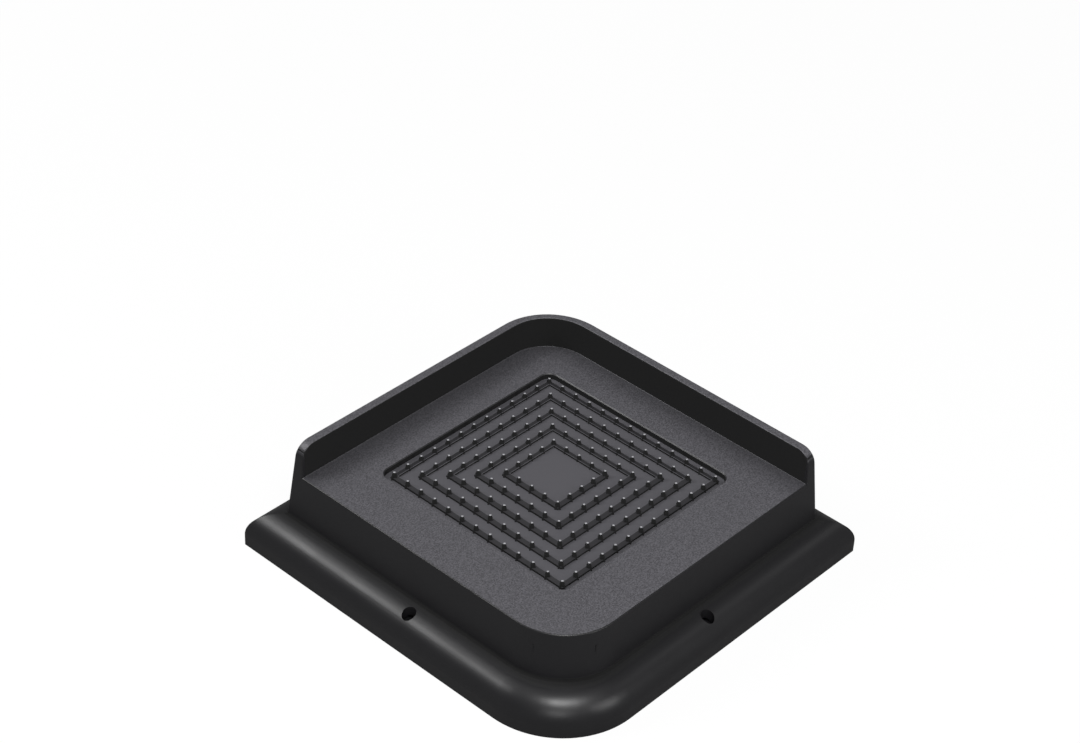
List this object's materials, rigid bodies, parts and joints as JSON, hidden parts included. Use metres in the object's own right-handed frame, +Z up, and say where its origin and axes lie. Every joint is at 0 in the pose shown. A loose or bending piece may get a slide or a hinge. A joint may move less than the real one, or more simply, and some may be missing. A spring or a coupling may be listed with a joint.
{
  "type": "bed riser",
  "caption": "Square moulded riser for a furniture leg: screw flange, drafted block, studded grip recess in the deck and a raised L-shaped rim on two sides.",
  "frame": {"origin": "middle of the underside, on the surface the riser stands on", "axes": "+Z up out of the deck; the raised rim stands along the +X and +Y sides, and the open corner is at -X -Y"},
  "size_m": [0.118, 0.118, 0.035],
  "materials": {
    "moulded_body": "fine-grained matte black"
  },
  "bodies": {
    "root": {"bed_riser": "moulded_body"}
  },
  "joints": []
}
